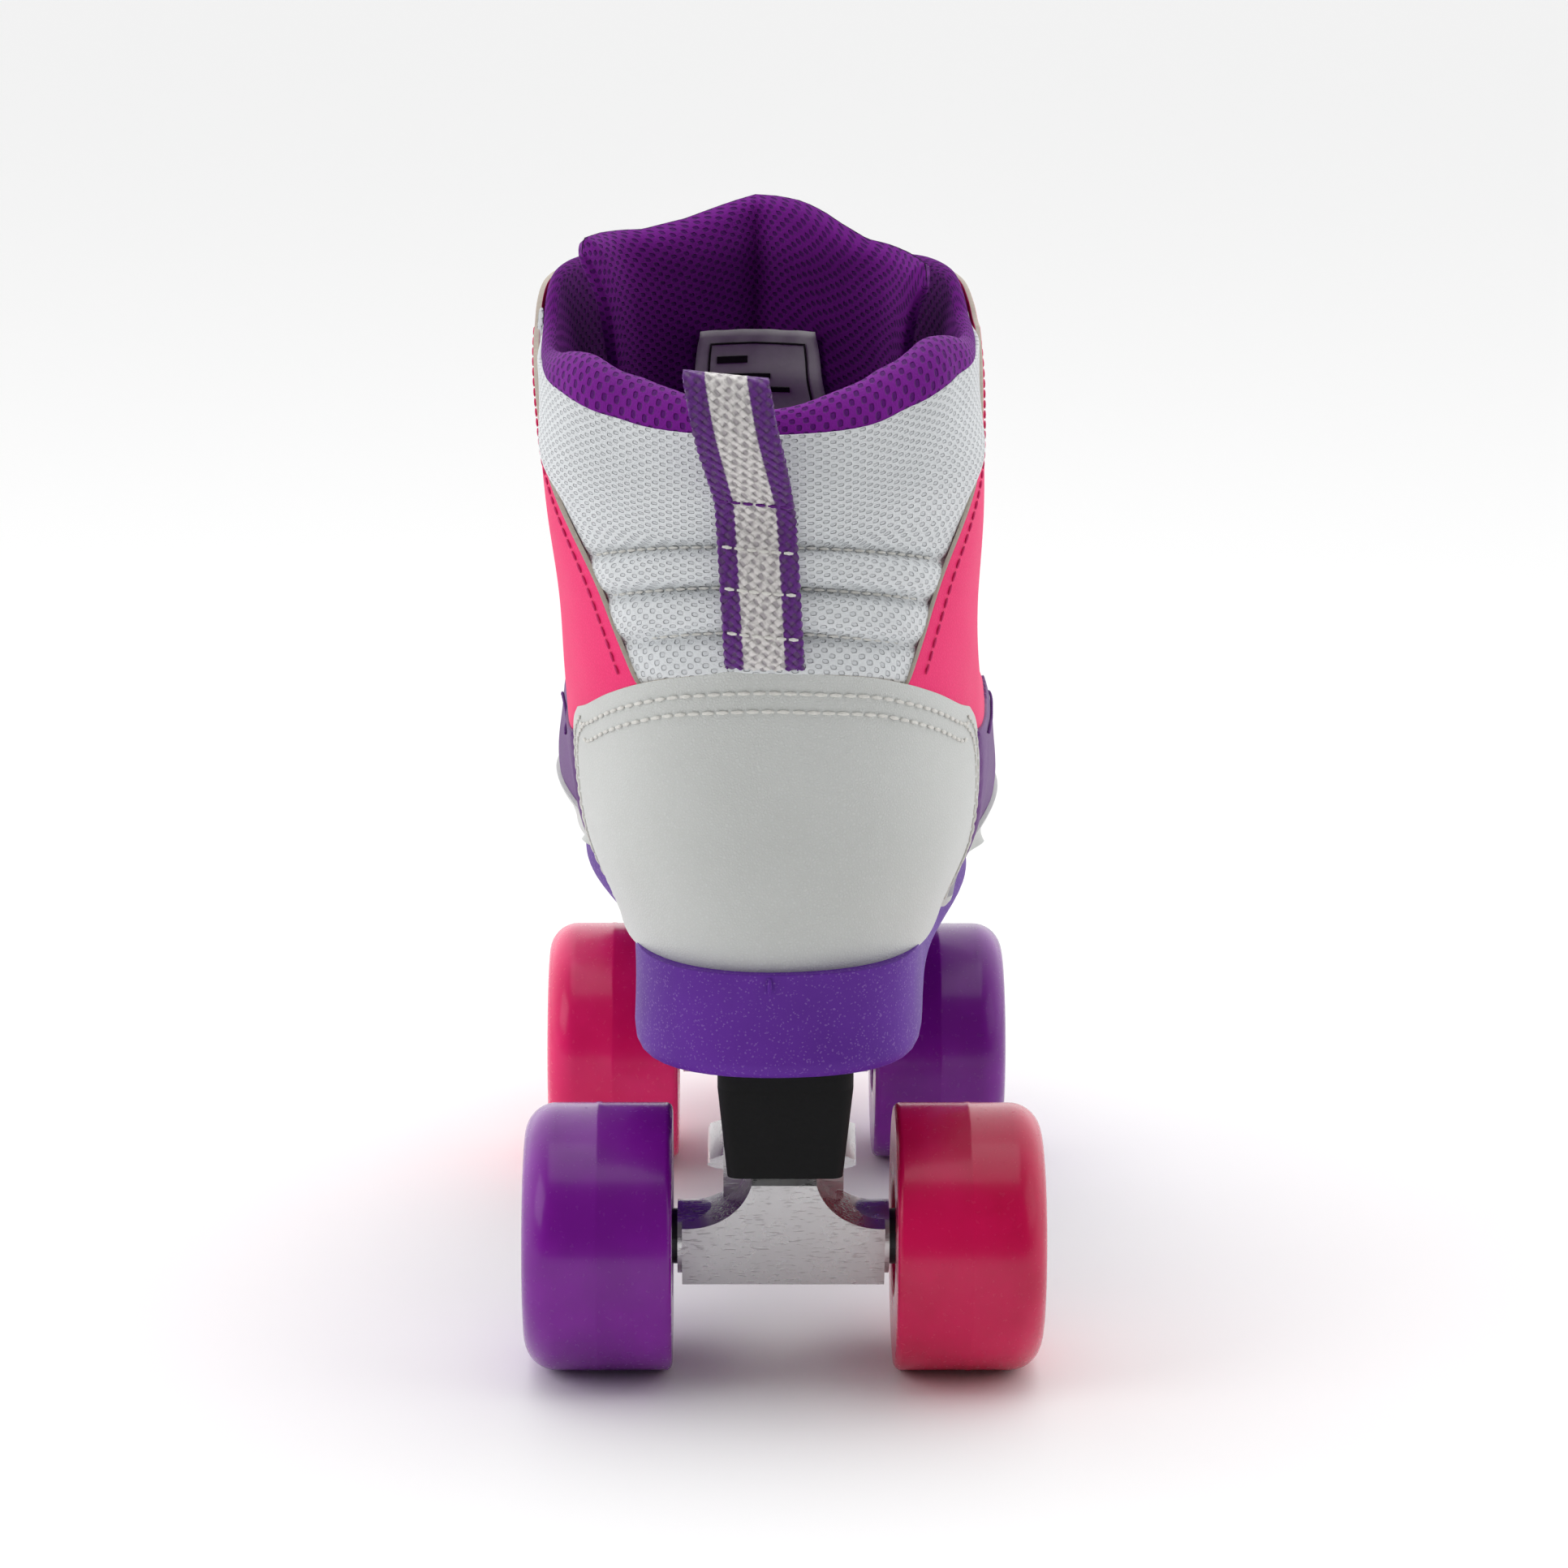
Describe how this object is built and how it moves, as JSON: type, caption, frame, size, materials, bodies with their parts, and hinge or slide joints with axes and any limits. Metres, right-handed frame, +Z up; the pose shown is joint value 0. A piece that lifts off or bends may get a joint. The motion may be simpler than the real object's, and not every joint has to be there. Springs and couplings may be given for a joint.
{
  "type": "quad roller skate",
  "caption": "High-top quad roller skate: padded boot, heel wedge sole, chassis plate, two steering trucks, four wheels on ball bearings and a toe stop.",
  "frame": {"origin": "on the floor under the middle of the boot's length", "axes": "+Z up, +Y towards the toe, +X towards the outer side of the right foot"},
  "size_m": [0.112, 0.2674, 0.246],
  "materials": {
    "purple_urethane_clear": "gloss, cast urethane",
    "pink_urethane": "gloss, cast urethane",
    "hub_white": "satin moulded nylon",
    "bearing_steel": "ground bearing steel",
    "polished_aluminium": "polished cast aluminium with fine scratches",
    "zinc_steel": "zinc-plated steel",
    "dark_washer": "blackened steel",
    "black_nylon": "fine-grained moulded nylon",
    "purple_sole": "satin moulded sole with fine glitter",
    "purple_rubber": "moulded urethane",
    "stop_rubber": "moulded rubber",
    "white_leather": "fine-grained synthetic leather",
    "pink_leather": "smooth synthetic leather",
    "purple_leather": "smooth synthetic leather",
    "white_mesh": "spacer mesh",
    "purple_mesh": "spacer mesh",
    "webbing": "woven webbing, purple edges",
    "lace_white": "braided polyester",
    "board": "pressed fibre board"
  },
  "bodies": {
    "root": {"chassis_plate": "black_nylon", "plate_screws": "zinc_steel", "toe_stop_pad": "stop_rubber", "toe_stop_bolt": "zinc_steel", "toe_stop_nut_and_washer": "zinc_steel", "sole": "purple_sole", "lasting_board": "board", "footbed": "purple_mesh", "heel_counter": "white_leather", "back_panel": "white_mesh", "quarter_left": "pink_leather", "quarter_right": "pink_leather", "side_panel_left": "purple_leather", "side_panel_right": "purple_leather", "rand": "white_leather", "toe_cap": "white_leather", "vamp": "white_mesh", "eyestay_left": "pink_leather", "eyestay_right": "pink_leather", "lining": "purple_mesh", "tongue": "purple_mesh", "pull_loop": "webbing", "eyelets": "zinc_steel", "lace": "lace_white", "rear_kingpin": "zinc_steel", "rear_kingpin_nut": "zinc_steel", "rear_cushion_upper": "purple_rubber", "rear_cushion_lower": "purple_rubber", "rear_cushion_retainers": "zinc_steel", "rear_pivot_cup": "black_nylon", "front_kingpin": "zinc_steel", "front_kingpin_nut": "zinc_steel", "front_cushion_upper": "purple_rubber", "front_cushion_lower": "purple_rubber", "front_cushion_retainers": "zinc_steel", "front_pivot_cup": "black_nylon"},
    "rear_truck": {"rear_hanger": "polished_aluminium", "rear_axle": "zinc_steel", "rear_axle_nuts": "zinc_steel", "rear_axle_washers": "dark_washer", "rear_bearing_inner_races": "bearing_steel", "rear_bearing_spacers": "bearing_steel"},
    "rear_left_wheel": {"rear_left_tyre": "purple_urethane_clear", "rear_left_hub": "hub_white", "rear_left_bearings": "bearing_steel"},
    "rear_right_wheel": {"rear_right_tyre": "pink_urethane", "rear_right_hub": "hub_white", "rear_right_bearings": "bearing_steel"},
    "front_truck": {"front_hanger": "polished_aluminium", "front_axle": "zinc_steel", "front_axle_nuts": "zinc_steel", "front_axle_washers": "dark_washer", "front_bearing_inner_races": "bearing_steel", "front_bearing_spacers": "bearing_steel"},
    "front_left_wheel": {"front_left_tyre": "pink_urethane", "front_left_hub": "hub_white", "front_left_bearings": "bearing_steel"},
    "front_right_wheel": {"front_right_tyre": "purple_urethane_clear", "front_right_hub": "hub_white", "front_right_bearings": "bearing_steel"}
  },
  "joints": [
    {"name": "rear_truck_steer", "type": "hinge", "parent": "root", "child": "rear_truck", "pos_m": [0, -0.068, 0.041], "axis": [0, 0.9104, -0.4138], "range_deg": [-8, 8], "stiffness_Nm_per_rad": 25, "deforming": ["rear_cushion_upper", "rear_cushion_lower"]},
    {"name": "rear_left_wheel_spin", "type": "hinge", "parent": "rear_truck", "child": "rear_left_wheel", "pos_m": [-0.04, -0.094, 0.029], "axis": [1, 0, 0], "continuous": true},
    {"name": "rear_right_wheel_spin", "type": "hinge", "parent": "rear_truck", "child": "rear_right_wheel", "pos_m": [0.04, -0.094, 0.029], "axis": [1, 0, 0], "continuous": true},
    {"name": "front_truck_steer", "type": "hinge", "parent": "root", "child": "front_truck", "pos_m": [0, 0.03, 0.041], "axis": [0, -0.9104, -0.4138], "range_deg": [-8, 8], "stiffness_Nm_per_rad": 25, "deforming": ["front_cushion_upper", "front_cushion_lower"]},
    {"name": "front_left_wheel_spin", "type": "hinge", "parent": "front_truck", "child": "front_left_wheel", "pos_m": [-0.04, 0.056, 0.029], "axis": [1, 0, 0], "continuous": true},
    {"name": "front_right_wheel_spin", "type": "hinge", "parent": "front_truck", "child": "front_right_wheel", "pos_m": [0.04, 0.056, 0.029], "axis": [1, 0, 0], "continuous": true}
  ]
}
